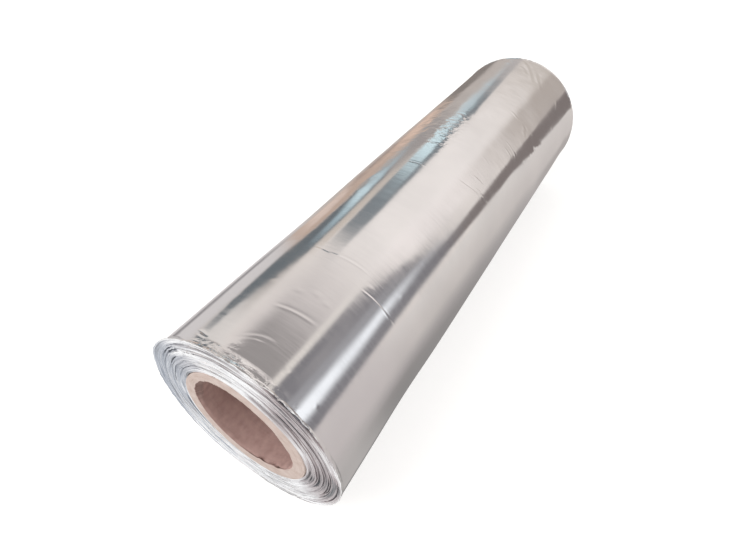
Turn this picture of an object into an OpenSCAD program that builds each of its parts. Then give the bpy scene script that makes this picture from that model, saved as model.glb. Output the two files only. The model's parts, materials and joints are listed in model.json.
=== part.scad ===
// A roll of aluminium foil on a cardboard core. It lies on its side, with its axis along Y.
// The origin is on the axis, halfway along the roll, and the front end faces -Y.
// The foil is one solid. Its end faces show the turns as one spiral of proud bands and narrow gaps.

/* [Core] */
// Inside diameter of the cardboard core
core_bore_d = 76; // [70:1:82]
// Wall thickness of the core
core_wall = 10.2; // [6:0.2:11]
// How far the core stands out of the foil at each end
core_overhang = 0.6; // [0:0.2:5]
// Width of the worn edge on the core's two mouths
core_edge_w = 0.8; // [0.4:0.2:2]
// Gap between the core and the first turn of foil
core_gap = 0.1; // [0.05:0.05:0.4]

/* [Foil] */
// Width of the foil, which is the length of the roll
foil_w = 500; // [300:10:1000]
// Outside diameter of the wound foil
roll_d = 148; // [132:1:160]
// Thickness of the last turn at its free edge, drawn thicker than one sheet
tail_t = 0.4; // [0.3:0.1:0.8]
// Place of the free edge round the roll, in degrees from +X towards +Z
tail_angle = 205; // [160:5:240]
// Depth of the shallow dents and long flats in the outermost turn
skin_dent = 0.35; // [0:0.05:0.6]

/* [Turns on the end faces] */
// Distance from one shown band of turns to the next
turn_pitch = 2.1; // [1.8:0.1:3]
// Width of the gap between two bands
turn_gap_w = 0.5; // [0.3:0.1:0.7]
// Depth of the gap between two bands
turn_gap_depth = 1.8; // [0.5:0.1:3]
// How far the bands have slipped inwards past each other
turn_slip = 1.1; // [0:0.1:2]
// How far a band wanders from a true spiral
turn_wave = 0.28; // [0:0.02:0.36]

/* [Rim] */
// How far the crumpled rim stands out of the skin
rim_flare = 1.1; // [0:0.1:2]
// Width of the crumpled rim
rim_w = 4; // [3:0.5:8]
// Depth of the crease behind the rim
rim_crease = 0.3; // [0:0.1:0.6]

/* [Flat spot] */
// Width of the flat spot under the roll's own weight
flat_w = 24; // [16:1:32]

/* [Hidden] */
$fn = 120;

card_colour = [0.80, 0.70, 0.62];
foil_colour = [0.80, 0.80, 0.82];

core_d = core_bore_d + 2 * core_wall;
core_l = foil_w + 2 * core_overhang;
hole_r = core_d / 2 + core_gap;
roll_r = roll_d / 2;
flat_z = sqrt(pow(roll_r, 2) - pow(flat_w / 2, 2));
flat_cut = 20;

// Bands from the hole to the skin, and one more inside the hole, which is cut away with it
bands = floor((roll_r - tail_t - hole_r) / turn_pitch) + 1;
pitch = (roll_r - tail_t - hole_r) / (bands - 1);
start_r = roll_r - tail_t - bands * pitch;

// Each column is one section through the roll. The last stands just before the free edge.
columns = 49;
tail_edge_a = 0.8;
// A band has three points in a column: the bottom of its gap, its inner edge and its outer edge
band_points = 3;
spiral_points = band_points * bands;
end_rows = spiral_points + 2;

// Distance from an end of the roll, share of the flare and share of the crease, for each ring of the rim
rim_rings = [
    [0.2 * rim_w, 1, 0],
    [0.65 * rim_w, 0.7, 0],
    [rim_w, 0.15, 0.4],
    [1.4 * rim_w, 0, 1],
    [2.4 * rim_w, 0, 0],
];
skin_rings = 6;
ring_count = 2 * len(rim_rings) + skin_rings;
rows = 2 * end_rows + ring_count;

// A smooth uneven wave between -1 and 1, of an angle along the spiral or round the roll
function wave(a, phase) =
    0.45 * sin(5.3 * a + phase) + 0.35 * sin(9.7 * a + 2.1 * phase) + 0.2 * sin(17.9 * a + 3.7 * phase);
// The same, quicker, for the crumples of the rim
function crumple(a, phase) = 0.5 * sin(13 * a + phase) + 0.3 * sin(23 * a + 2 * phase) + 0.2 * wave(a, phase);
// Rises from 0 to 1 as x goes from 0 to 1
function ramp(x) = x <= 0 ? 0 : x >= 1 ? 1 : x * x * (3 - 2 * x);

function column_a(j) = j < columns - 1 ? 360 * j / (columns - 1) : 360 - tail_edge_a;
// The outermost turn gains the thickness of its free edge in one round
function outer_r(a) = roll_r - tail_t + tail_t * a / 360;
// Radius of the gap below a band, after a number of whole turns and an angle
function gap_r(turn, a) =
    let (u = turn + a / 360, room = min(1, u, bands - u))
    start_r + pitch * u + turn_wave * room * wave(360 * u, 20);
// Radius of a spiral point: the gap's bottom, then the inner and outer edge of the band above it
function band_r(i, a) =
    let (
        turn = floor(i / band_points),
        part = i % band_points,
        low = gap_r(turn, a),
        high = turn + 1 < bands ? gap_r(turn + 1, a) : outer_r(a),
        lip = min(turn_gap_w / 2, (high - low) / 4)
    )
    part == 0 ? low : part == 1 ? low + lip : high - lip;
// How far a spiral point lies behind the end plane
function band_depth(i, a, phase) =
    let (
        turn = floor(i / band_points),
        u = turn + a / 360,
        slip = turn_slip * (0.5 + 0.5 * wave(115 * floor(u) + 0.2 * a, phase)) * ramp(bands - u),
        edge = 0.25 * turn_slip * (1 + wave(360 * u, phase + 55)) * ramp(bands - u),
        gap = i % band_points == 0 ? turn_gap_depth * ramp(2 * (bands - u)) : 0
    )
    slip + edge + gap;
// Radius of the skin: long flats and dents that run along the roll and fade at its ends
function skin_r(s, a) =
    outer_r(a) - skin_dent * (0.5 + 0.5 * wave(0.4 * a + 60 * s, 35)) * ramp(6 * min(s, 1 - s));
function rim_r(ring, a, phase) =
    outer_r(a) + rim_flare * ring[1] * (0.6 + 0.4 * crumple(a, phase)) - rim_crease * ring[2];

function at(r, a, y) = [r * cos(a + tail_angle), y, r * sin(a + tail_angle)];

// Points of one end in a column, from the hole out to the rim; side is -1 at the front and 1 at the back
function end_points(a, side, phase) = [
    at(start_r, a, side * (foil_w / 2 - turn_slip)),
    for (i = [0 : spiral_points - 1])
        at(band_r(i, a), a, side * (foil_w / 2 - band_depth(i, a, phase))),
    at(outer_r(a) + rim_flare * 0.4, a, side * (foil_w / 2 - 0.2 * (1 + crumple(a, phase)))),
];
function ring_points(a) = [
    for (ring = rim_rings) at(rim_r(ring, a, 70), a, ring[0] - foil_w / 2),
    for (k = [1 : skin_rings])
        let (s = k / (skin_rings + 1)) at(skin_r(s, a), a, (s - 0.5) * foil_w),
    for (n = [len(rim_rings) - 1 : -1 : 0])
        at(rim_r(rim_rings[n], a, 160), a, foil_w / 2 - rim_rings[n][0]),
];
// A column runs from the hole, over the front end, along the skin, then again from the hole over the back end
function column_points(a) = concat(end_points(a, -1, 10), ring_points(a), end_points(a, 1, 100));

function quad(p, q, r, s) = [[p, q, r], [p, r, s]];
function turned(faces) = [for (f = faces) [for (n = [len(f) - 1 : -1 : 0]) f[n]]];

// Number of a row's point in a column; the back end's rows start after the skin's
function point(j, row) = (j % columns) * rows + row;
// Spiral point in the first column, whose ends are the hole's ring and the rim
function first_spiral(base, i) =
    i == 0 ? point(0, base) : i == spiral_points ? point(0, base + end_rows - 1) : point(0, base + 1 + i);

// Faces of one end. Going once round, each spiral point meets the one a band further out.
function end_faces(base) =
    let (last = columns - 1, rim = base + end_rows - 1, first_rim = point(0, rim)) [
    [for (j = [0 : last]) point(j, base)],
    // From the first column to the second
    [point(0, base), point(1, base + 1), point(1, base)],
    for (i = [0 : spiral_points - 1], f = quad(
        first_spiral(base, i), first_spiral(base, i + 1), point(1, base + 2 + i), point(1, base + 1 + i))) f,
    // Between the other columns
    for (j = [1 : last - 1], row = [base : rim - 1], f = quad(
        point(j, row), point(j, row + 1), point(j + 1, row + 1), point(j + 1, row))) f,
    // From the last column back to the first: the spiral's start
    [point(last, base + 1), point(0, base), point(last, base)],
    for (m = [0 : band_points - 1])
        [point(last, base + 1), first_spiral(base, m + 1), first_spiral(base, m)],
    // Its turns
    for (i = [0 : spiral_points - band_points - 1], f = quad(
        point(last, base + 1 + i), point(last, base + 2 + i),
        first_spiral(base, i + 1 + band_points), first_spiral(base, i + band_points))) f,
    // Its free edge
    for (i = [spiral_points - band_points : spiral_points - 1])
        [point(last, base + 1 + i), point(last, base + 2 + i), first_rim],
];
// Rows of the skin, from the front rim to the back rim
function skin_rows() = [for (k = [end_rows - 1 : end_rows + ring_count - 1]) k];
function skin_faces() =
    let (row = concat(skin_rows(), [rows - 1])) [
    for (j = [0 : columns - 1], k = [0 : len(row) - 2], f = quad(
        point(j, row[k]), point(j, row[k + 1]), point(j + 1, row[k + 1]), point(j + 1, row[k]))) f,
];

// The whole winding, solid to its middle
module wound_foil() {
    back = end_rows + ring_count;
    polyhedron(
        points = [for (j = [0 : columns - 1]) each column_points(column_a(j))],
        faces = concat(turned(concat(end_faces(0), skin_faces())), end_faces(back))
    );
}

// A spiral-wound cardboard tube with a true bore and softened mouths
module core() {
    color(card_colour)
        rotate([90, 0, 0])
            rotate_extrude()
                polygon([
                    [core_bore_d / 2, -core_l / 2 + core_edge_w],
                    [core_bore_d / 2 + core_edge_w, -core_l / 2],
                    [core_d / 2, -core_l / 2],
                    [core_d / 2, core_l / 2],
                    [core_bore_d / 2 + core_edge_w, core_l / 2],
                    [core_bore_d / 2, core_l / 2 - core_edge_w],
                ]);
}

// All turns of foil, with the hole for the core and the flat spot underneath
module foil_roll() {
    color(foil_colour)
        difference() {
            wound_foil();
            rotate([90, 0, 0])
                cylinder(r = hole_r, h = 2 * foil_w, center = true);
            translate([-roll_d, -foil_w, -flat_z - flat_cut])
                cube([2 * roll_d, 2 * foil_w, flat_cut]);
        }
}

core();
foil_roll();
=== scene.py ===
"""A roll of aluminium foil wound on a cardboard core, lying on its side on a pale floor in soft studio light.

All shapes are worked out in millimetres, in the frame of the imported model: the roll's axis is Y, the origin
is on the axis halfway along it, and the front end faces -Y. Angles round the roll go from +X towards +Z.
"""

import json
import logging
import math
from dataclasses import dataclass
from enum import Enum

import bpy
import numpy as np
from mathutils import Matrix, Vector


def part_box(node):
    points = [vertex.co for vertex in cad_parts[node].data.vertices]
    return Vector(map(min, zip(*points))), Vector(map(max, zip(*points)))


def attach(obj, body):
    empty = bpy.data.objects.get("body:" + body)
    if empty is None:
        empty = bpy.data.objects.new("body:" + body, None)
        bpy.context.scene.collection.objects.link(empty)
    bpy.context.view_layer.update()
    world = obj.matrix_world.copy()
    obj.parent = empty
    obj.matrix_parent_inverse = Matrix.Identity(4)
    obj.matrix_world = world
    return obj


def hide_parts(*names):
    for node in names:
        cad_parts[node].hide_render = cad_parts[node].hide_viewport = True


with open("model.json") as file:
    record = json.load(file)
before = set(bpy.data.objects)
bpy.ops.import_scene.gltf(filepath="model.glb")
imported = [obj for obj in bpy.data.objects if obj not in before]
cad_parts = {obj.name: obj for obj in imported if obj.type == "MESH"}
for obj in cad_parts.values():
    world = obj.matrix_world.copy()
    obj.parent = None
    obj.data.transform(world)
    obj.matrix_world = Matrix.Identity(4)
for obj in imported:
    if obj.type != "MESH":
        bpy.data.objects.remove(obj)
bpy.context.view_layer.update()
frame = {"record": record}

Array = np.ndarray
Pair = tuple[float, float]

LOG = logging.getLogger("foil_roll")
MM = 0.001
BODY = "root"
UV_NAME = "mm"
SHADE_NAME = "shade"
SHADER = "Principled BSDF"
WHITE = "#FFFFFF"
# Where a mix of two colours has its factor and the colours, and where it has the result
MIX_INPUTS = (0, 6, 7)
MIX_OUTPUT = 2


class End(Enum):
    """The two ends of the roll, as the sign of Y that each faces."""

    FRONT = -1
    BACK = 1


# Small tools for colours, nodes and grids


def linear(hex_colour: str) -> tuple[float, float, float, float]:
    """Turns an sRGB hex colour to linear RGBA.

    Args:
        hex_colour: a colour written as #RRGGBB.

    Returns:
        Four numbers from 0 to 1, the last of them 1.
    """
    values = [int(hex_colour[i : i + 2], 16) / 255 for i in (1, 3, 5)]
    red, green, blue = (v / 12.92 if v <= 0.04045 else ((v + 0.055) / 1.055) ** 2.4 for v in values)
    return red, green, blue, 1.0


def feed(tree: bpy.types.NodeTree, node: bpy.types.Node, inputs: dict | list | tuple) -> None:
    """Fills the inputs of a node.

    Args:
        tree: the node tree that holds it.
        node: the node to fill.
        inputs: what goes in, by the input's name or number, or as a list in the node's own order. A node
            feeds with its first output, or a colour mix with its colour. A socket feeds with itself. The
            rest are values, and a string is a colour written as #RRGGBB.
    """
    order = MIX_INPUTS if node.bl_idname == "ShaderNodeMix" else range(len(node.inputs))
    for key, value in inputs.items() if isinstance(inputs, dict) else zip(order, inputs):
        if isinstance(value, bpy.types.Node):
            value = value.outputs[MIX_OUTPUT if value.bl_idname == "ShaderNodeMix" else 0]
        if isinstance(value, bpy.types.NodeSocket):
            tree.links.new(value, node.inputs[key])
        else:
            node.inputs[key].default_value = linear(value) if isinstance(value, str) else value


def add_node(
    tree: bpy.types.NodeTree, kind: str, inputs: dict | list | tuple = (), **settings
) -> bpy.types.Node:
    """Adds a node with its settings and its inputs. A Mix is always a mix of two colours.

    Args:
        tree: the node tree to add to.
        kind: the node's type name, without the ShaderNode that starts it.
        inputs: its inputs, as feed takes them.
        **settings: the node's own properties.

    Returns:
        The new node.
    """
    node = tree.nodes.new("ShaderNode" + kind)
    if kind == "Mix":
        settings["data_type"] = "RGBA"
    for key, value in settings.items():
        setattr(node, key, value)
    feed(tree, node, inputs)
    return node


def start_material(name: str, *patterns: tuple[float, float, float]) -> tuple:
    """Starts a material with patterns of smooth noise, stretched along U or V of the piece's own map.

    Args:
        name: the material's name.
        *patterns: each pattern's grain along U and along V, in millimetres, and its detail.

    Returns:
        The material, its node tree, the place on the map in millimetres, and a list of the patterns.
    """
    made = bpy.data.materials.new(name)
    made.use_nodes = True
    tree = made.node_tree
    place = add_node(tree, "UVMap", uv_map=UV_NAME)
    noises = []
    for along_u, along_v, detail in patterns:
        stretched = add_node(tree, "Mapping", {0: place, "Scale": (1 / along_u, 1 / along_v, 1)})
        noises.append(add_node(tree, "TexNoise", {"Vector": stretched, "Scale": 1, "Detail": detail}))
    return made, tree, place, noises


def ramp(x: Array) -> Array:
    """Rises smoothly from 0 to 1 as x goes from 0 to 1: 3 x squared less 2 x cubed."""
    x = np.clip(x, 0, 1)
    return x * x * (3 - 2 * x)


def bell(x: Array) -> Array:
    """A smooth hump, 1 at x = 0 and almost 0 past 2: e to the power of minus x squared."""
    return np.exp(-(x * x))


def turned_from(degrees: Array, middle: float) -> Array:
    """Degrees from a middle angle, the short way round, from -180 to 180."""
    return (degrees - middle + 180) % 360 - 180


def lobe(degrees: Array, middle: float, width: float) -> Array:
    """A bell round the roll: 1 at its middle angle, and almost 0 past twice its width in degrees."""
    return bell(turned_from(degrees, middle) / width)


def painted_shade_by_angle(degrees: Array) -> Array:
    """Painted shade of the slit edges round the roll: swells on the right and left, painted light beneath."""
    right = 0.79 * lobe(degrees, -12, 34) + 0.54 * lobe(degrees, 50, 26)
    left = 0.62 * lobe(degrees, 142, 36) + 0.37 * lobe(degrees, 196, 30)
    return right + left - 0.16


def gaping(degrees: Array) -> Array:
    """How loose the turns are round the roll: swells on the right and on the upper left."""
    return 0.95 * lobe(degrees, -8, 46) + 0.6 * lobe(degrees, 140, 24)


def edge_shade(degrees: Array, behind: Array, radius: Array) -> Array:
    """The painted shade of a slit edge, from 0 to 1, for what it mirrors and the shade of its gaps.

    It swells and fades round the roll, with a little more or less near the core and near the rim, as painted
    shade and painted light. It is more where an edge lies deep behind the end plane, a painted shade of the
    gap.
    It is less on the crests that stand proud, a painted highlight, and on one sharp fold that runs across the
    last turns at the top, a painted highlight line.

    Args:
        degrees: angles round the roll.
        behind: millimetres behind the end plane.
        radius: millimetres from the roll's axis.

    Returns:
        The painted shade of each place.
    """
    left, right = turned_from(degrees, 200), turned_from(degrees, 40)
    # Painted shade and painted light by radius: towards the rim, at the rim's edge, and near the core
    outer = 0.09 * bell(left / 34) + 0.12 * bell((right - 20) / 13) - 0.12 * bell((right + 20) / 14)
    rim = 0.12 * bell(left / 52)
    inner = -0.14 * bell((right + 62) / 40) - 0.24 * bell((left + 8) / 26)
    # A painted highlight line along one sharp fold across the last turns at the top
    from_fold = turned_from(degrees, 108.5) + 0.5 * (radius - 72)
    fold = -0.45 * bell(from_fold / 0.8) * ramp((radius - 66.5) / 1.5)
    by_radius = (
        outer * ramp((radius - 65) / 4) + rim * ramp((radius - 70.6) / 1.2) + inner * ramp((56 - radius) / 3)
    )
    by_radius = by_radius + fold
    # Painted highlight on the crests that stand proud, less on the left
    rubbed = 0.20 * ramp((0.5 - behind) / 0.4) * (1 - 0.7 * bell(left / 50))
    # Painted shade where an edge lies deep in a gap
    deep = 0.9 * ramp((behind - 0.9) / 1.5)
    return painted_shade_by_angle(degrees) + by_radius + deep - rubbed


def spread(low: float, high: float, count: int, density) -> Array:
    """Places from low to high that crowd where a density is high.

    The running sum of the density is cut into equal shares, and each cut's place is read off.

    Args:
        low: the first place.
        high: the last place.
        count: how many places.
        density: a function of an array of places that gives the wanted density there.

    Returns:
        The places in rising order.
    """
    fine = np.linspace(low, high, 8000)
    weight = density(fine)
    total = np.concatenate([[0], np.cumsum((weight[1:] + weight[:-1]) / 2)])
    return np.interp(np.linspace(0, total[-1], count), total, fine)


@dataclass(frozen=True)
class Crumple:
    """Random heights on a lattice that closes round the roll, blended smoothly between its points.

    Attributes:
        seed: fixes the heights.
        cells: lattice cells in one turn.
        layers: how many layers are added, each twice as fine and half as high.
    """

    seed: int
    cells: int
    layers: int = 1

    def at(self, turn: Array, along: Array) -> Array:
        """The height at a place, between -1 and 1.

        Args:
            turn: place round the roll, in turns.
            along: place across the lattice's rows, in cells of its first layer.

        Returns:
            The heights, in the shape of the two arrays together.
        """
        total, most = 0.0, 0.0
        for layer in range(self.layers):
            around, across = turn * self.cells * 2**layer, along * 2**layer
            column, row = np.floor(around).astype(int), np.floor(across).astype(int)
            u, v = ramp(around - column), ramp(across - row)
            first = row.min()
            lattice = np.random.default_rng([self.seed, layer]).uniform(
                -1, 1, (row.max() - first + 2, self.cells * 2**layer)
            )
            width = lattice.shape[1]
            row, here, there = row - first, column % width, (column + 1) % width
            low = lattice[row, here] * (1 - u) + lattice[row, there] * u
            high = lattice[row + 1, here] * (1 - u) + lattice[row + 1, there] * u
            total = total + (low * (1 - v) + high * v) * 0.5**layer
            most += 0.5**layer
        return total / most


def grid_quads(rows: int, columns: int) -> Array:
    """Quads of a grid that closes on itself both ways, so that it has no edge.

    Vertex (row, column) is number row x columns + column, and a quad joins it to the next row and column.

    Args:
        rows: rows of vertices.
        columns: vertices in a row.

    Returns:
        One row of four vertex numbers for each quad.
    """
    row, column = np.meshgrid(np.arange(rows), np.arange(columns), indexing="ij")
    next_row, next_column = (row + 1) % rows, (column + 1) % columns
    corners = [
        row * columns + column,
        row * columns + next_column,
        next_row * columns + next_column,
        next_row * columns + column,
    ]
    return np.stack(corners, -1).reshape(-1, 4)


def grid_uv(u: Array, v: Array) -> Array:
    """The UV corners of grid_quads, from the places of its columns and rows.

    Args:
        u: the place of each column, and after it the place at which the grid closes.
        v: the place of each row, and after it the place at which the grid closes.

    Returns:
        Four UV pairs for each quad.
    """
    row, column = np.meshgrid(np.arange(len(v) - 1), np.arange(len(u) - 1), indexing="ij")
    corners = [(column, row), (column + 1, row), (column + 1, row + 1), (column, row + 1)]
    return np.stack([np.stack([u[c], v[r]], -1) for c, r in corners], -2).reshape(-1, 4, 2)


def add_object(name: str, data: bpy.types.ID) -> bpy.types.Object:
    """Puts an object into the scene, at the origin."""
    made = bpy.data.objects.new(name, data)
    bpy.context.scene.collection.objects.link(made)
    return made


def round_axis(radius: Array, degrees: Array, y: Array) -> Array:
    """Points round the roll's axis: at angle a and radius r, x is r cos a and z is r sin a."""
    a = np.radians(degrees)
    return np.stack([radius * np.cos(a), y, radius * np.sin(a)], -1)


def write_piece(
    name: str, points: Array, quads: Array, uv: Array, shade: Array, *finishes
) -> bpy.types.Object:
    """Puts a closed surface into a smooth-shaded mesh with its faces outward, riding on the roll's body.

    The signed volume is the sum of the mixed products of the corners of each quad's two triangles, over
    six. Where it is negative, the surface is inside out and every quad is turned over.

    Args:
        name: the piece's name.
        points: one row of x, y, z for each vertex, in millimetres.
        quads: one row of four vertex numbers for each face.
        uv: four UV pairs for each face, in millimetres.
        shade: a share from 0 to 1 at each vertex for the finishes to read: painted shade, more where sunken,
            on
        the edges and the core's mouth, and how crumpled the bare foil is.
        *finishes: the piece's materials. All faces have the first.

    Returns:
        The new object, at the origin.
    """
    points = points.reshape(-1, 3)
    a, b, c, d = (points[quads[:, k]] for k in range(4))
    volume = (np.cross(a, b) * c + np.cross(a, c) * d).sum() / 6
    if volume < 0:
        quads, uv = quads[:, ::-1], uv[:, ::-1]
    mesh = bpy.data.meshes.new(name)
    mesh.from_pydata((points * MM).tolist(), [], quads.tolist())
    mesh.uv_layers.new(name=UV_NAME).data.foreach_set("uv", uv.astype(np.float32).ravel())
    mesh.polygons.foreach_set("use_smooth", np.ones(len(quads), bool))
    layer = mesh.attributes.new(SHADE_NAME, "FLOAT", "POINT")
    layer.data.foreach_set("value", np.clip(shade, 0, 1).astype(np.float32).ravel())
    mesh.update()
    for finish in finishes:
        mesh.materials.append(finish)
    piece = add_object(name, mesh)
    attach(piece, BODY)
    LOG.info("%s: %d triangles, %.1f cm3", name, 2 * len(quads), abs(volume) / 1000)
    return piece


# Finishes


@dataclass(frozen=True)
class BareFoilFinish:
    """Bright rolled aluminium foil, the outermost turn.

    The rolls leave it almost a mirror, with fine lines round the roll that draw reflections out along it.
    Where it was crumpled, small facets break the reflections up.
    """

    bright: str = "#F6F6F5"
    dull: str = "#E6E6E6"
    roughness: float = 0.09
    worn_roughness: float = 0.16
    anisotropy: float = 0.4
    rolling_line_mm: float = 1.2
    rolling_line_run_mm: float = 24.0
    rolling_line_height_mm: float = 0.010
    ripple_mm: float = 3.6
    ripple_run_mm: float = 11.0
    ripple_height_mm: float = 0.035
    calm_share: float = 0.3
    calm_to_lively_mm: Pair = (-200, 60)
    facet_mm: float = 5.0
    facet_turn: float = 0.5
    facet_height_mm: float = 0.9
    haze_mm: float = 45.0

    def material(self) -> bpy.types.Material:
        """Builds the material: lines, ripples and facets as bump, and a haze of duller, rougher foil.

        Returns:
            The material, which reads as a soft, slightly lined mirror.
        """
        made, tree, place, (lines, ripples, haze) = start_material(
            "rolled_aluminium_foil",
            (self.rolling_line_run_mm, self.rolling_line_mm, 3),
            (self.ripple_run_mm, self.ripple_mm, 2),
            (self.haze_mm, self.haze_mm, 5),
        )
        worn = add_node(tree, "MapRange", [haze, 0.35, 0.7, self.roughness, self.worn_roughness])
        streaked = add_node(tree, "MapRange", [lines, 0.3, 0.75, -0.02, 0.05])
        roughness = add_node(tree, "Math", [worn, streaked])
        tone = add_node(tree, "Mix", [haze, self.bright, self.dull])
        along = add_node(tree, "SeparateXYZ", [place]).outputs["Y"]
        lively = add_node(tree, "MapRange", [along, *self.calm_to_lively_mm, self.calm_share, 1])
        ripple_height = add_node(tree, "Math", [ripples, lively], operation="MULTIPLY")
        facet_scale = (0.6 / self.facet_mm, 1 / self.facet_mm, 1)
        turned = {0: place, "Rotation": (0, 0, self.facet_turn), "Scale": facet_scale}
        facets_at = add_node(tree, "Mapping", turned)
        facets = add_node(tree, "TexNoise", {"Vector": facets_at, "Scale": 1, "Detail": 3, "Distortion": 0.8})
        crumpled = add_node(tree, "Attribute", attribute_name=SHADE_NAME).outputs["Fac"]
        facet_height = add_node(tree, "Math", [facets, crumpled], operation="MULTIPLY")
        bumps = (
            (facet_height, self.facet_height_mm),
            (ripple_height, self.ripple_height_mm),
            (lines, self.rolling_line_height_mm),
        )
        beneath = {}
        for height, high_mm in bumps:
            bump = {"Strength": 1, "Distance": high_mm * MM, "Height": height}
            beneath = {"Normal": add_node(tree, "Bump", bump | beneath)}
        shown = {
            "Metallic": 1,
            "Anisotropic": self.anisotropy,
            "Anisotropic Rotation": 0.25,
            "Tangent": add_node(tree, "Tangent", direction_type="UV_MAP", uv_map=UV_NAME),
            "Base Color": tone,
            "Roughness": roughness,
        }
        feed(tree, tree.nodes[SHADER], shown | beneath)
        return made


@dataclass(frozen=True)
class SlitEdgeFinish:
    """The cut edges of hundreds of foil turns, pressed side by side.

    Each edge is a hair of bright metal, so together they look white and matt. Where the piece's painted shade
    says so they turn to a grey, cooler on the left and warmer on the right as a painted reflection, and then
    to the dark of painted shade in the gaps.
    """

    name: str = "slit_foil_edges"
    bright: str = "#FCFCFD"
    cool: str = "#A9AFBA"
    # The painted grey, cooler on the left and warmer on the right as a painted reflection, and the painted
    # shade of the gaps
    warm: str = "#B8AEAF"
    dark: str = "#474A50"
    roughness: float = 0.32
    roughness_swing: float = 0.1
    line_contrast: float = 1.0
    turn_mm: float = 0.45
    turn_run_mm: float = 30.0
    # Crisp thin dark lines of painted shade in the gaps between turns
    gaps_mm: tuple[float, ...] = (1.15, 2.7)
    gap_run_mm: float = 56.0
    gap_strength: float = 0.36
    grey_shade: float = 0.45
    # How far across the painted reflection turns from cool to warm, and which way
    tint_mm: float = 45.0
    tint_across: tuple[float, float, float] = (0.94, 0, 0.34)
    fold_mm: float = 2.4
    line_height_mm: float = 0.10

    def material(self) -> bpy.types.Material:
        """Builds the material: the painted shade, fine lines and crisp painted-shade gaps along the spiral,
        as colour and bump.

        Returns:
            The material, which reads as a stack of sheets seen on edge.
        """
        made, tree, _, (lines, folds, *gaps) = start_material(
            self.name,
            (self.turn_run_mm, self.turn_mm, 3),
            (2 * self.fold_mm, self.fold_mm, 4),
            *((self.gap_run_mm, gap_mm, 1) for gap_mm in self.gaps_mm),
        )
        # The piece's painted shade, with fine lines across it
        shade = add_node(tree, "Attribute", attribute_name=SHADE_NAME).outputs["Fac"]
        middle = add_node(tree, "Math", [0.5, lines], operation="SUBTRACT")
        lined = [middle, self.line_contrast, shade]
        whole = add_node(tree, "Math", lined, operation="MULTIPLY_ADD", use_clamp=True)
        # Crisp thin dark lines: painted shade in the gaps between turns
        for pattern in gaps:
            gap = add_node(tree, "MapRange", [pattern, 0.60, 0.68, 0, self.gap_strength])
            whole = add_node(tree, "Math", [whole, gap])
        # Painted reflection: the grey is cooler on the left and warmer on the right
        place = add_node(tree, "TexCoord").outputs["Object"]
        across = add_node(tree, "VectorMath", [place, self.tint_across], operation="DOT_PRODUCT")
        painted_reflection_side = add_node(
            tree, "MapRange", [across.outputs["Value"], -self.tint_mm * MM, self.tint_mm * MM]
        )
        dull = add_node(tree, "Mix", [painted_reflection_side, self.cool, self.warm])
        # From bright towards the painted grey, then to the painted shade of the gaps
        duller = add_node(tree, "MapRange", [whole, 0.0, self.grey_shade])
        darker = add_node(tree, "MapRange", [whole, self.grey_shade, 1.0])
        grey = add_node(tree, "Mix", [duller, self.bright, dull])
        colour = add_node(tree, "Mix", [darker, grey, self.dark])
        smooth, rough = self.roughness - self.roughness_swing, self.roughness + self.roughness_swing
        roughness = add_node(tree, "MapRange", [folds, 0.3, 0.7, smooth, rough])
        height = add_node(tree, "Math", [lines, folds])
        bump = add_node(tree, "Bump", {"Strength": 1, "Distance": self.line_height_mm * MM, "Height": height})
        shown = {"Metallic": 1, "Base Color": colour, "Roughness": roughness, "Normal": bump}
        feed(tree, tree.nodes[SHADER], shown)
        return made


@dataclass(frozen=True)
class CoreBoardFinish:
    """Grey-brown core board, wound from glued plies of recycled paper: matt, mottled and fibrous.

    The cut end shows its plies as fine rings and is paler than the bore. Where the piece's shade says so, the
    mouth takes painted shade: a painted shadow under the plies that hang in, and darker on its torn rounding.
    """

    name: str
    pale: str
    deep: str
    line: str
    line_strength: float
    # Colour of the painted shadow and painted shade at the mouth
    painted_mouth_shadow: str = "#54443C"
    ply_mm: float = 0.62
    mottle_mm: float = 7.0
    fibre_mm: float = 0.9
    fibre_height_mm: float = 0.06
    roughness: float = 0.85
    specular: float = 0.25

    def material(self) -> bpy.types.Material:
        """Builds the material: mottled board with ply lines across V and fibres along U.

        Returns:
            The material, which reads as dry grey cardboard.
        """
        made, tree, _, (mottle, plies, fibre) = start_material(
            self.name,
            (self.mottle_mm, self.mottle_mm, 5),
            (30 * self.ply_mm, self.ply_mm, 2),
            (2.5 * self.fibre_mm, self.fibre_mm, 4),
        )
        spots = add_node(tree, "MapRange", [mottle, 0.32, 0.68])
        board = add_node(tree, "Mix", [spots, self.deep, self.pale])
        ply = add_node(tree, "MapRange", [plies, 0.46, 0.34, 0, self.line_strength])
        lined = add_node(tree, "Mix", [ply, board, self.line])
        # The piece's shade: painted shadow and painted shade at the mouth
        under = add_node(tree, "Attribute", attribute_name=SHADE_NAME).outputs["Fac"]
        colour = add_node(tree, "Mix", [under, lined, self.painted_mouth_shadow])
        height = add_node(tree, "Math", [plies, fibre])
        relief = {"Strength": 1, "Distance": self.fibre_height_mm * MM, "Height": height}
        shown = {
            "Roughness": self.roughness,
            "Specular IOR Level": self.specular,
            "Base Color": colour,
            "Normal": add_node(tree, "Bump", relief),
        }
        feed(tree, tree.nodes[SHADER], shown)
        return made


# The roll


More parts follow.
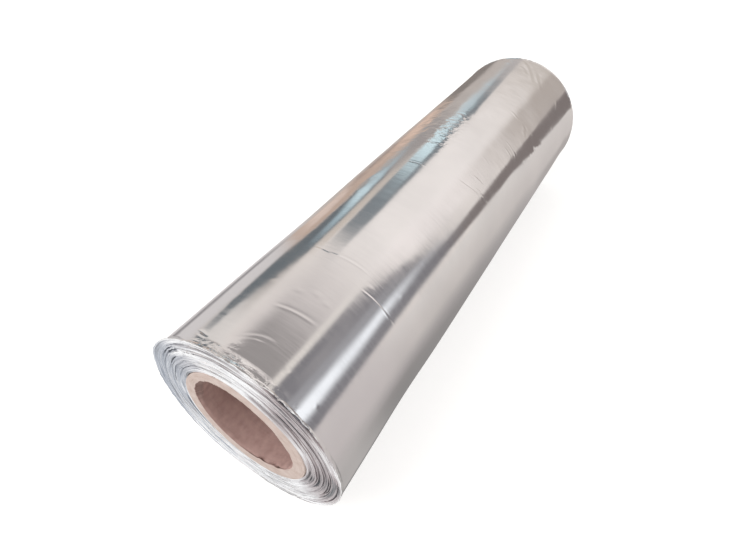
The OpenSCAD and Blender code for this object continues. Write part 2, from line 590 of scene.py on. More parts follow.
@dataclass(frozen=True)
class RollSizes:
    """Sizes that the pieces share, in millimetres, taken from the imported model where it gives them."""

    half_w: float
    hole_r: float
    core_r: float
    bore_r: float
    core_half: float
    flat_z: float
    skin_r: float = 74.0
    tail_t: float = 0.4
    tail_deg: float = 205.0

    @classmethod
    def from_frame(cls) -> "RollSizes":
        """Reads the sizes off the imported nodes' boxes and the mount of the bore.

        Returns:
            The sizes. The core clears the hole by a tenth of a millimetre.
        """
        foil_low, foil_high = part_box("foil_roll")
        core_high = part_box("core")[1]
        bore = next(m for m in frame["record"]["mounts"] if m["name"] == "core_bore")
        clearance = 0.1
        return cls(
            half_w=foil_high.y / MM,
            hole_r=core_high.x / MM + clearance,
            core_r=core_high.x / MM,
            bore_r=bore["dims"]["r_mm"],
            core_half=core_high.y / MM,
            flat_z=-foil_low.z / MM,
        )

    def lean(self, degrees: Array, end: End) -> Array:
        """How far the edges were knocked to lean out at one end, as one broad band on the upper left."""
        return 0.12 if end is End.BACK else 0.15 + 1.8 * ramp((60 - np.abs(turned_from(degrees, 125))) / 30)

    def flare(self, degrees: Array, end: End) -> Array:
        """How far the edges stand out at one end.

        At the back they just lean. At the front the lean is flatter at the top, where the edges were
        knocked back, and a swell and a corner take over on the left side.

        Args:
            degrees: angles round the roll.
            end: which end of the roll.

        Returns:
            The flare at each angle, in millimetres.
        """
        lean = self.lean(degrees, end)
        if end is End.BACK:
            return lean
        swell = 1.7 * ramp((64 - np.abs(turned_from(degrees, 194))) / 30)
        corner = 0.8 * ramp(1 - np.abs(turned_from(degrees, 155)) / 13)
        return np.maximum(lean * (1 - 0.62 * lobe(degrees, 100, 22)), swell) + corner

    def flare_share(self, behind: Array) -> Array:
        """The share of the flare at a depth behind the end plane: all at the edge, none 3.4 mm in."""
        return ramp(1 - behind / 3.4) ** 1.1

    def flatten(self, points: Array, above: float = 0.0) -> Array:
        """Lifts what lies below the flat spot up to it, or to a height above it.

        Args:
            points: rows of x, y, z in millimetres, changed in place.
            above: how far above the flat spot the points stop.

        Returns:
            The same points.
        """
        points[..., 2] = np.maximum(points[..., 2], above - self.flat_z)
        return points


@dataclass(frozen=True)
class Mark:
    """A small form in the skin. A place is given in degrees round the roll and millimetres along it."""

    def height(self, round_mm: Array, y: Array, radius: float) -> Array:
        """How far the mark lifts the skin at each place.

        Args:
            round_mm: place round the skin, in millimetres of arc from +X.
            y: place along the roll.
            radius: radius of the skin.

        Returns:
            The heights in millimetres, below 0 where the skin is sunk.
        """
        raise NotImplementedError


@dataclass(frozen=True)
class Crease(Mark):
    """A fold line from one place to another: a ridge with a valley on one side, which fades at its ends."""

    start: Pair
    end: Pair
    depth: float = 0.12
    width: float = 1.0
    bow: float = 0.0

    def height(self, round_mm: Array, y: Array, radius: float) -> Array:
        """One bell across the line less 0.7 of another beside it. The line's bow is a parabola."""
        p0 = np.array([math.radians(self.start[0]) * radius, self.start[1]])
        p1 = np.array([math.radians(self.end[0]) * radius, self.end[1]])
        length = np.hypot(*(p1 - p0))
        along = (p1 - p0) / length
        t = ((round_mm - p0[0]) * along[0] + (y - p0[1]) * along[1]) / length
        side = (y - p0[1]) * along[0] - (round_mm - p0[0]) * along[1]
        side = side - self.bow * 4 * t * (1 - t)
        fade = ramp(4 * t) * ramp(4 * (1 - t))
        return self.depth * fade * (bell(side / self.width) - 0.7 * bell(side / self.width - 1.8))


@dataclass(frozen=True)
class Dent(Mark):
    """A dimple, or a bump where its depth is below 0. Its size is round the roll and along it."""

    place: Pair
    size: Pair = (1.3, 1.3)
    depth: float = 0.12

    def hump(self, round_mm: Array, y: Array, radius: float) -> Array:
        """How much of the dent there is at each place, from 1 at its middle to 0 around it."""
        across = (round_mm - math.radians(self.place[0]) * radius) / self.size[0]
        along = (y - self.place[1]) / self.size[1]
        return bell(np.hypot(across, along))

    def height(self, round_mm: Array, y: Array, radius: float) -> Array:
        """The hump, sunk by the depth."""
        return -self.depth * self.hump(round_mm, y, radius)


@dataclass(frozen=True)
class CrumpledPatch(Dent):
    """A patch that was rubbed and crumpled, with folds of its own grain and, where sharp, small facets."""

    grain_mm: float = 5.0
    seed: int = 20
    sharp: float = 0.0

    def height(self, round_mm: Array, y: Array, radius: float) -> Array:
        """Sharp-edged random folds, 1 less twice the size of a random height, under the hump."""
        circle = 2 * math.pi * radius
        folds = Crumple(self.seed, round(circle / self.grain_mm), 2).at(round_mm / circle, y / self.grain_mm)
        return self.depth * (1 - 2 * np.abs(folds)) * self.hump(round_mm, y, radius)


SKIN_MARKS = (
    # Long scratches and folds across the front half
    Crease((37, -162.5), (64, -162), 0.11, 0.55, 1.2),
    Crease((41, -5), (65, -15), 0.10, 0.55, -1.2),
    Crease((38, -2), (45, -8), 0.16, 0.7, 0.5),
    Crease((45, -3), (50, -6), 0.10, 0.6),
    Crease((84, -22), (97, -22), 0.14, 0.6, 1.0),
    Crease((84, 17), (97, 16), 0.12, 0.6, -0.6),
    Crease((87, -152), (98, -150), 0.06, 0.6, 0.5),
    Crease((62, -149), (96, -152), 0.03, 0.8, 1.5),
    Crease((66, -202), (92, -206), 0.05, 0.9, 1.2),
    Crease((74, -226), (90, -234), 0.09, 0.8, 3.0),
    Crease((78, -229), (93, -240), 0.07, 0.7, 2.4),
    # Folds of the back half
    Crease((38, 70), (46, 78), 0.15, 0.7, 1.0),
    Crease((41, 74), (56, 77), 0.06, 0.7, 1.0),
    Crease((45, 66), (52, 68), 0.10, 0.8, 1.0),
    Crease((46, 5), (57, 3), 0.06, 0.7, 0.8),
    Crease((88, 66), (98, 82), 0.20, 0.9, 2.0),
    Crease((86, 74), (94, 62), 0.16, 0.9, -2.0),
    Crease((62, 156), (71, 158), 0.13, 0.8, 0.8),
    Crease((61, 153), (66, 155), 0.10, 0.7, 0.6),
    Crease((69, 196), (92, 246), 0.12, 1.6, 3.0),
    Crease((63, 204), (72, 228), 0.14, 1.5, -1.5),
    Crease((78, 208), (89, 228), 0.10, 1.2, 2.0),
    Crease((57, 190), (64, 206), 0.10, 1.3, 1.0),
    Crease((36, 196), (44, 214), 0.16, 1.6, 1.5),
    Crease((30, 170), (40, 178), 0.14, 1.4, 1.0),
    Crease((58, 120), (66, 124), 0.10, 0.9, 0.6),
    Crease((47, 108), (52, 122), 0.14, 1.3, 0.8),
    Crease((36, 118), (42, 126), 0.14, 1.2, 0.8),
    Crease((72, 92), (77, 98), 0.06, 0.8, 0.5),
    Crease((54, 30), (60, 34), 0.06, 0.7, 0.5),
    Crease((98, 228), (112, 246), 0.14, 1.4, 2.0),
    Crease((106, 180), (120, 222), 0.16, 1.6, 2.0),
    Crease((102, 62), (106, 30), 0.14, 1.4, 3.0),
    Crease((98, 38), (108, 44), 0.12, 1.2, 2.0),
    # Where the roll was held and rubbed, with a dark dash by the front end
    CrumpledPatch((92, 52), (10, 26), 0.24, 4.5, 21, 0.5),
    CrumpledPatch((90, 22), (9, 22), 0.14, 5.5, 27, 0.2),
    CrumpledPatch((103, 45), (14, 34), 0.16, 9.0, 22, 0.12),
    CrumpledPatch((30, 112), (6, 26), 0.20, 6.0, 23, 0.2),
    CrumpledPatch((118, 60), (15, 60), 0.32, 15.0, 24, 0.1),
    CrumpledPatch((119, -50), (14, 60), 0.26, 15.0, 28, 0.1),
    CrumpledPatch((90, -241), (6.5, 4.5), 0.14, 4.0, 25, 0.55),
    CrumpledPatch((112, -214), (10, 12), 0.05, 6.0, 26, 0.05),
    Dent((101.7, 64), (2.0, 1.6), -0.25),
    Dent((-12, -165), (24, 40), 1.0),
    Dent((134, -95), (22, 55), 1.0),
    Crease((110.5, -239), (103, -241.6), -0.30, 0.75),
    # Specks
    Dent((44, -142), (1.2, 1.6), -0.10),
    Dent((45, -237), (1.4, 1.2), -0.14),
    Dent((60, -156), (1.2, 1.4), -0.08),
    Dent((64.5, -63), (1.2, 1.3), -0.09),
    Dent((64.4, 10), (1.5, 1.3), -0.09),
    Dent((53.4, 4), (1.6, 1.2), -0.09),
    Dent((77, -184), (2.6, 0.9), -0.07),
    Dent((70.7, -186), (2.2, 0.9), -0.07),
    Dent((86, -188), (2.4, 0.9), -0.07),
    Dent((101, -187), (2.4, 1.0), -0.09),
    Dent((62, -234), (2.4, 1.0), -0.09),
)


@dataclass
class FoilSkin:
    """The outermost turn: one sheet round the roll, with its free edge on the hidden side.

    Attributes:
        sizes: the roll's sizes.
        columns: places round the roll, crowded where the roll shows most.
        rows: places along it, crowded at the creases and the two ends.
        inner_r: radius of the sheet's hidden inner side.
        edge_inset: how far behind the end plane the sheet's edge lies, under the rim's lip.
        sheet_t: how thick the sheet is at its edge.
        tucked_in: where the inner side begins behind the end plane.
        tail_gap_deg: how far before the free edge the last column stops.
        seen_deg: the angle round the roll at the middle of what shows most.
    """

    sizes: RollSizes
    finish: bpy.types.Material
    columns: int = 172
    rows: int = 566
    inner_r: float = 72.4
    edge_inset: float = 1.9
    sheet_t: float = 0.3
    tucked_in: float = 14.0
    tail_gap_deg: float = 0.25
    seen_deg: float = 62.0
    marks: tuple[Mark, ...] = SKIN_MARKS

    def column_degrees(self) -> Array:
        """Angles of the columns, from the free edge round to just before it.

        Returns:
            The angles in degrees, in rising order.
        """

        def density(angle: Array) -> Array:
            from_top = np.abs(angle - 360 - self.seen_deg)
            return 0.32 + 0.68 * ramp((95 - from_top) / 16)

        start = self.sizes.tail_deg
        return spread(start, start + 360 - self.tail_gap_deg, self.columns, density)

    def row_places(self) -> Array:
        """Places of the rows along the roll, crowded at the creases and the two ends.

        Returns:
            The places in millimetres, in rising order.
        """
        edge = self.sizes.half_w - self.edge_inset
        creases = [m for m in self.marks if isinstance(m, Crease)]

        def density(y: Array) -> Array:
            crowded = sum(bell((y - (m.start[1] + m.end[1]) / 2) / 4) for m in creases)
            return 1 + 1.4 * np.minimum(crowded, 1.2) + 2.6 * ramp((np.abs(y) - edge + 14) / 9)

        return spread(-edge, edge, self.rows, density)

    def arc(self, degrees: Array) -> Array:
        """Place round the skin in millimetres of arc from +X, counted on from the free edge."""
        tail = self.sizes.tail_deg
        return np.radians((degrees - tail) % 360 + tail - 360) * self.sizes.skin_r

    def surface(self, degrees: Array, y: Array) -> Array:
        """Radius of the outer side: the spiral of one turn, less long flats, with folds and a flared lip.

        The spiral gains the thickness of the free edge in one turn. All else is random heights. The flats
        are about 52 mm round by 62 mm along and fade 30 mm from the ends. The waves are 18 mm by 26 mm and
        stronger on the back half, and the ridges 19 mm by 7 mm. The last 4 mm by each end are worked into
        folds of 3.6 mm by 3 mm, most at the top of the front end.

        Args:
            degrees: angles round the roll, as a row.
            y: places along the roll, as a column.

        Returns:
            The radius at each place.
        """
        sizes = self.sizes
        turn = degrees / 360
        round_mm = self.arc(degrees)
        from_tail = (degrees - sizes.tail_deg) / 360
        to_end = sizes.half_w - np.abs(y)
        spiral = sizes.skin_r - sizes.tail_t * (1 - from_tail)
        flats = 0.17 * (1 + Crumple(11, 9).at(turn, y / 62)) * ramp(to_end / 30)
        waves = (0.035 + 0.085 * ramp((y + 60) / 180)) * Crumple(12, 26, 2).at(turn, y / 26)
        ridges = 0.011 * Crumple(13, 24, 2).at(turn, y / 7)
        marks = sum(m.height(round_mm, y, sizes.skin_r) for m in self.marks)
        knocked = 0.03 + 0.20 * lobe(degrees, 86, 22) * (y < 0)
        worked = knocked * ramp(1.2 - to_end / 4.2) * Crumple(14, 130, 2).at(turn, y / 3)
        flare = np.where(y < 0, sizes.flare(degrees, End.FRONT), sizes.flare(degrees, End.BACK))
        return spiral - flats + waves + ridges + marks + worked + flare * sizes.flare_share(to_end)

    def crumpled(self, degrees: Array, y: Array) -> Array:
        """How crumpled the skin is: the patches' own humps, and the last of it by the front end.

        Args:
            degrees: angles round the roll, as a row.
            y: places along the roll, as a column.

        Returns:
            A share from 0 to 1 at each place.
        """
        patches = [m for m in self.marks if isinstance(m, CrumpledPatch)]
        rubbed = sum(m.sharp * m.hump(self.arc(degrees), y, self.sizes.skin_r) for m in patches)
        by_end = lobe(degrees, 86, 24) * ramp((-y - self.sizes.half_w + 8) / 4)
        return rubbed + 0.9 * by_end

    def build(self) -> bpy.types.Object:
        """Builds the sheet as a closed shell: its outer side from front to back, and its inner side back.

        Returns:
            The dressed piece, which stands for the winding's solid.
        """
        sizes = self.sizes
        degrees, y = self.column_degrees()[None, :], self.row_places()[:, None]
        outer_r = self.surface(degrees, y)
        wander = 0.1 * Crumple(15, 48, 3).at(degrees / 360, np.sign(y) * 3 + 4)
        outer_y = y + np.sign(y) * wander * ramp((np.abs(y) - sizes.half_w + 12) / 11)
        edge_r = outer_r[[-1, 0]] - self.sheet_t
        middle = np.full_like(degrees, self.inner_r)
        inner_r = np.concatenate([edge_r[:1], middle, middle, middle, edge_r[1:]])
        inside = sizes.half_w - self.tucked_in
        inner_y = [outer_y[-1:], 0 * middle + inside, 0 * middle, 0 * middle - inside, outer_y[:1]]
        r, along = np.concatenate([outer_r, inner_r]), np.concatenate([outer_y, *inner_y])
        points = round_axis(r, degrees, along)
        sizes.flatten(points[: self.rows])
        sizes.flatten(points[self.rows :], self.sheet_t)
        u = np.append(degrees[0], sizes.tail_deg + 360) * math.radians(1) * sizes.skin_r
        v = np.concatenate([y[:, 0], along[self.rows :, 0] + 2 * sizes.half_w, [3 * sizes.half_w]])
        crumpled = np.zeros_like(r)
        crumpled[: self.rows] = self.crumpled(degrees, y)
        quads = grid_quads(len(r), self.columns)
        piece = write_piece("foil_skin", points, quads, grid_uv(u, v), crumpled, self.finish)
        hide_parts("foil_roll")
        return piece


@dataclass
class CrushedRim:
    """The crushed edges of the last few turns at one end, out to the crumpled lip of the outermost one.

    Attributes:
        sizes: the roll's sizes.
        end: which end of the roll.
        seed: fixes its folds.
        steps_per_point: rows of vertices for each point of the section.
        lip_points: the points of the section between which the lip has the skin's finish.
        lip_deg: the middle of the lip that has it.
        lip_half_deg: half the width of that.
    """

    sizes: RollSizes
    end: End
    finish: bpy.types.Material
    lip_finish: bpy.types.Material
    seed: int
    columns: int = 1080
    steps_per_point: int = 3
    lip_points: Pair = (7.4, 13)
    lip_deg: float = 45.0
    lip_half_deg: float = 92.0

    def profile(self, degrees: Array) -> tuple[Array, Array]:
        """Radius and depth of the rim's section at each angle, as points joined in a closed loop.

        Three crests and the slits between them run from the inner foot to a last slit and the lip, which
        turns back along the roll and dives under the skin. Each point moves in and out by its own random
        heights, less near 245 degrees. Where the edges lean out, the slits close and leave one broad band.
        On the upper right of the front end the lip is ruffled, and here and there set back by a millimetre.

        Args:
            degrees: angles round the roll.

        Returns:
            Two arrays with a row for each point of the section.
        """
        turn = degrees / 360
        quick = [Crumple(self.seed + k, 110, 3).at(turn, 0 * turn) for k in range(9)]
        slow = [Crumple(self.seed + 20 + k, 11, 2).at(turn, 0 * turn) for k in range(9)]
        lean = self.sizes.lean(degrees, self.end) + 0 * turn
        flared = self.sizes.flare(degrees, self.end) + 0 * turn
        loose = 1 - 0.85 * ramp((lean - 0.3) / 0.9)
        ruffled = lobe(degrees, 50, 24) * (self.end is End.FRONT)
        wide = 0.4 * gaping(degrees) - 0.15
        slit = [1.9 * loose * ramp((s + wide + 0.15) / 0.5) for s in slow[:2]]
        set_back = 1.0 * ruffled * ramp((slow[2] + 0.6 * quick[5] + 0.55) / 0.3)
        last_slit = 0.30 + 0.5 * set_back + 1.1 * loose * ramp((slow[2] + 0.35) / 0.4)
        flare = [flared * self.sizes.flare_share(d) for d in (0.0, 1.1, 2.3)]
        band = ramp((lean - 0.3) / 0.9)
        # Radius and depth behind the end plane, and the swing of each
        section = [
            (69.6, 3.4, 0.0, 0.0),
            (69.8, 1.1, 0.10, 0.20),
            (70.4, 0.25 + 0.75 * band, 0.25, 0.30),
            (71.0 + 0.2 * flared, 0.40 + slit[0] + 0.45 * band, 0.20, 0.10),
            (71.7 + 0.4 * flared, 0.15 + 0.55 * band, 0.28, 0.30),
            (72.2 + 0.55 * flared, 0.35 + slit[1] + 0.20 * band, 0.20, 0.10),
            (72.8 + 0.7 * flared, 0.05 + 0.35 * band, 0.25, 0.35),
            (73.3 + 0.85 * flared, last_slit * (1 - 0.5 * band), 0.10, 0.10),
            (73.75 + flare[0], 0.10 + set_back, 0.34, 0.50),
            (74.05 + flare[0], 0.45 + 0.9 * set_back, 0.36, 0.35),
            (73.95 + flare[1], 1.1 + 0.5 * set_back, 0.30, 0.10),
            (73.95 + flare[2], 2.3, 0.16, 0.0),
            (73.5 + flare[2], 3.3, 0.0, 0.0),
            (72.4, 4.5, 0.0, 0.0),
            (71.2, 6.5, 0.0, 0.0),
            (70.0, 6.5, 0.0, 0.0),
        ]
        radius, depth = [], []
        for k, (r, d, swing_r, swing_d) in enumerate(section):
            q, s = quick[k % 9], slow[(k + 3) % 9]
            hold = (1 + 0.7 * ruffled if k >= 8 else loose) * (1 - 0.75 * lobe(degrees, 245, 36))
            radius.append(r + hold * swing_r * (0.9 * q + 0.5 * s) + 0 * turn)
            depth.append(d + hold * swing_d * (0.9 * np.roll(q, 7) + 0.4 * np.roll(s, 31)) + 0 * turn)
        return np.array(radius), np.array(depth)

    def build(self) -> bpy.types.Object:
        """Builds the rim as a closed ring: the section's points are joined, rounded and swept round.

        The rounding takes the mean of each point and its neighbours, with double weight on itself.

        Returns:
            The dressed piece.
        """
        degrees = np.arange(self.columns) / self.columns * 360
        radius, depth = self.profile(degrees)
        count = len(radius)
        steps = np.arange(count * self.steps_per_point) / self.steps_per_point
        low, share = np.floor(steps).astype(int), (steps % 1)[:, None]

        def rounded(values: Array) -> Array:
            fine = values[low] * (1 - share) + values[(low + 1) % count] * share
            return (np.roll(fine, 1, 0) + 2 * fine + np.roll(fine, -1, 0)) / 4

        r, back = rounded(radius), rounded(depth)
        points = round_axis(r, degrees, self.end.value * (self.sizes.half_w - back))
        self.sizes.flatten(points)
        u = np.arange(self.columns + 1) / self.columns * 2 * math.pi * self.sizes.skin_r
        v = np.arange(len(r) + 1) / self.steps_per_point * 0.8
        step = steps[:, None]
        lean = np.maximum(self.sizes.lean(degrees, self.end), 1.4 * lobe(degrees, 84, 20))
        is_lip = (step > self.lip_points[0]) & (step < self.lip_points[1])
        is_lip = is_lip & (np.abs(turned_from(degrees, self.lip_deg)) < self.lip_half_deg)
        # Painted light on the rim at the top of the front end; painted shade in the slit behind the lip on
        # the upper right and in a short line at the bottom
        near = 0.8 * lobe(degrees, 96, 25) * (self.end is End.FRONT)
        slit = 0.45 * lobe(degrees, 50, 20) * ramp((step - 5.4) / 0.6)
        slit = slit + lobe(degrees, -80, 9) * bell((step - 6.8) / 0.7)
        slit = 0.9 * slit * (self.end is End.FRONT)
        crumpled = (0.25 + 0.5 * ramp((lean - 0.5) / 0.8)) * ramp((step - 9) / 1.5)
        # The lip carries how crumpled it is; the rest carries the edges' painted shade
        shade = np.where(is_lip, crumpled, edge_shade(degrees, back, r) - near + slit)
        quads = grid_quads(len(r), self.columns)
        name = f"{self.end.name.lower()}_rim"
        piece = write_piece(name, points, quads, grid_uv(u, v), shade, self.finish, self.lip_finish)
        piece.data.polygons.foreach_set("material_index", is_lip.astype(int).ravel())
        piece.data.update()
        return piece


@dataclass
class WoundTurns:
    """The turns that show on one end, as one spiral of proud bands with gaps between.

    Attributes:
        sizes: the roll's sizes.
        end: which end of the roll.
        seed: fixes how the bands slip and wander.
        start_deg: the angle at which the spiral starts.
        bands: turns of the spiral that is shown, each for many of the real ones.
        columns: places in each turn.
        depth: how far behind the end plane the hidden back lies.
        proud: how far the inner turns stand proud.
        shares: where the points of the band's section are across it, from the bottom of its gap.
    """

    sizes: RollSizes
    end: End
    finish: bpy.types.Material
    seed: int
    start_deg: float = 219.0
    outer_r: float = 70.4
    bands: int = 13
    columns: int = 900
    depth: float = 6.0
    proud: float = 1.15
    shares: tuple[float, ...] = (0.0, 0.13, 0.34, 0.56, 0.78, 0.93)

    def noise(self, u: Array, layer_seed: int, per_turn: int, layers: int = 1) -> Array:
        """Random heights along the spiral, with so many cells in each turn."""
        whole = self.bands + 3
        return Crumple(self.seed + layer_seed, per_turn * whole, layers).at(u / whole, 0 * u)

    def openness(self, u: Array) -> Array:
        """How open the gap inside a band is, from 0 to 1.

        Long random arcs of it are open, more where the turns gape and fewer where they are gathered. The
        gap beside the core is open on its left side alone.

        Args:
            u: place along the spiral, in turns.

        Returns:
            The openness at each place.
        """
        angle = u * 360 + self.start_deg
        by_core = np.where(u < 1, 0.9 * lobe(angle, 212, 30) - 0.5, 0)
        more = 0.5 * gaping(angle) - 0.28 - 0.3 * lobe(angle, 126, 11) + by_core
        return ramp((self.noise(u, 4, 4, 2) + more + 0.1) / 0.45)

    def beaded(self, u: Array) -> Array:
        """Where the turns are gathered into small folds: a patch between the core and the rim, upper left."""
        return bell(turned_from(u * 360 + self.start_deg, 126) / 12) * bell((u - 9.0) / 1.9)

    def heights(self, u: Array) -> tuple[Array, Array]:
        """Radius and depth behind the end plane of the points of the band's section, along the spiral.

        The radius grows evenly, plus a random wander, and the first turn starts level with the hole. Bands
        slip past each other by random heights along the spiral, and where the turns have buckled all of it
        swings more. In the gathered patch they zigzag, and the gaps there are shallow. Elsewhere an open
        gap is wider and deeper. The inner turns stand proud on the right, by up to the proud height, and
        the last turn sinks behind the rim.

        Args:
            u: place along the spiral, in turns.

        Returns:
            Two arrays with a row for each point of the section.
        """
        sizes = self.sizes
        pitch = (self.outer_r - sizes.hole_r) / self.bands
        angle = u * 360 + self.start_deg
        buckled = lobe(angle, 132, 22) + 0.5 * lobe(angle, -34, 26)
        settled = ramp(u / 1.5) * ramp((self.bands - u) / 1.5)
        together = Crumple(self.seed + 9, 26, 3).at(angle / 360, u / 4)
        own = pitch * (0.24 * self.noise(u, 0, 3) + 0.10 * self.noise(u, 1, 23, 2))
        zigzag = Crumple(self.seed + 8, 172, 2).at(angle / 360, u / 1.1)
        wander = settled * (own + (0.20 + 0.9 * buckled) * together)
        wander = wander + (0.04 + 0.25 * buckled + 1.1 * self.beaded(u)) * settled * zigzag
        slip = 0.5 + 0.40 * self.noise(u, 2, 3) + (0.10 + 0.35 * buckled) * self.noise(u, 3, 37, 2)
        here, beyond = self.openness(u), self.openness(u + 1)
        share = np.array(self.shares)[:, None] + 0 * u
        wide = 0.17 + 0.16 * lobe(angle, -12, 40)
        share[1] += np.where(u < 1, 0.34, wide) * here
        share[2] += np.where(u < 1, 0.25, wide - 0.09) * here
        share[-1] -= 0.10 * beyond
        rough = np.stack([self.noise(u, 10 + k, 47, 2) for k in range(len(share))])
        level_start = np.where(u < 1, ramp((u - 0.96) / 0.04) - u, 0)
        radius = sizes.hole_r + pitch * (u + share + (1 - share) * level_start) + wander
        radius = radius + 0.04 * pitch * rough * settled
        open_drop = 0.15 + 3.0 * here * (1 - 0.88 * self.beaded(u))
        drop = np.stack([open_drop, 0.10 + 0 * u, -0.05 + 0 * u, 0 * u, -0.05 + 0 * u, 0.12 + 0 * u])
        depth = slip + drop + (0.12 + 0.08 * buckled) * rough + 1.6 * ramp(u - self.bands + 1)
        proud = self.proud * lobe(angle, 55, 52) * ramp(1 - u / 6)
        return np.maximum(radius, sizes.hole_r), np.maximum(depth, 0.0) * (1 - 0.8 * proud / 1.2) - proud

    def build(self) -> bpy.types.Object:
        """Builds the spiral and closes it with walls and a hidden back.

        Vertex (point, column) is number column x points + point. A band's outer edge meets the bottom of the
        gap one turn further out. The spiral's inner and outer borders each close with a step across one band.

        Returns:
            The dressed piece.
        """
        across, last, side = len(self.shares), self.bands * self.columns, self.end.value
        u = np.arange(last + self.columns + 1) / self.columns
        radius, depth = self.heights(u)
        a = 2 * math.pi * u + math.radians(self.start_deg)
        top = np.stack([radius * np.cos(a), side * (self.sizes.half_w - depth), radius * np.sin(a)], -1)
        top = top.transpose(1, 0, 2).reshape(-1, 3)
        point, column = np.meshgrid(np.arange(across), np.arange(last), indexing="ij")
        corners = [(point, column), (point + 1, column), (point + 1, column + 1), (point, column + 1)]

        def vertex(p: Array, c: Array) -> Array:
            return np.where(p == across, (c + self.columns) * across, c * across + p)

        quads = np.stack([vertex(p, c) for p, c in corners], -1).reshape(-1, 4)
        pitch = (self.outer_r - self.sizes.hole_r) / self.bands
        length_mm = u * 2 * math.pi * (self.sizes.hole_r + self.outer_r) / 2
        width_mm = (u[:, None] + np.append(self.shares, 1.0)) * pitch
        uv = np.stack([np.stack([length_mm[c], width_mm[c, p]], -1) for p, c in corners], -2)

        one_turn, step = np.arange(self.columns + 1), np.arange(across - 1, 0, -1)
        inner = np.concatenate([one_turn * across, step])
        outer = np.concatenate([(last + one_turn) * across, last * across + step])
        back = np.concatenate([top[inner], top[outer]])
        back[:, 1] = side * (self.sizes.half_w - self.depth)
        here = np.arange(len(inner))
        there = (here + 1) % len(inner)
        behind_inner, behind_outer = len(top), len(top) + len(inner)
        walls = [
            (inner[here], inner[there], behind_inner + there, behind_inner + here),
            (outer[there], outer[here], behind_outer + here, behind_outer + there),
            (behind_inner + here, behind_inner + there, behind_outer + there, behind_outer + here),
        ]
        closing = np.concatenate([np.stack(wall, -1) for wall in walls])
        used, packed = np.unique(np.concatenate([quads, closing]), return_inverse=True)
        points = np.concatenate([top, back])[used]
        behind = self.sizes.half_w - np.abs(points[:, 1])
        degrees = np.degrees(np.arctan2(points[:, 2], points[:, 0]))
        from_axis = np.hypot(points[:, 0], points[:, 2])
        # Painted light on the gathered beads, less painted shade in their holes
        painted_bead_light = lobe(degrees, 127, 14) * bell((from_axis - 65) / 4.2)
        shade = edge_shade(degrees, np.maximum(behind, 0.3), from_axis) - 0.28 * painted_bead_light
        uv = np.concatenate([uv.reshape(-1, 4, 2), np.zeros((len(closing), 4, 2))])
        name = f"{self.end.name.lower()}_turns"
        piece = write_piece(name, points, packed.reshape(-1, 4), uv, shade, self.finish)
        return piece


@dataclass(frozen=True)
class Tear:
    """A place on the mouth of the bore where a ply is torn away or hangs in.

    Attributes:
        degrees: its middle, round the roll.
        half_deg: half its width, in degrees.
        out: how far the mouth is torn out there, in millimetres, below 0 where a ply hangs in.
        back: how far the mouth's foot lies behind the cut face there, in millimetres.
    """

    degrees: float
    half_deg: float
    out: float
    back: float


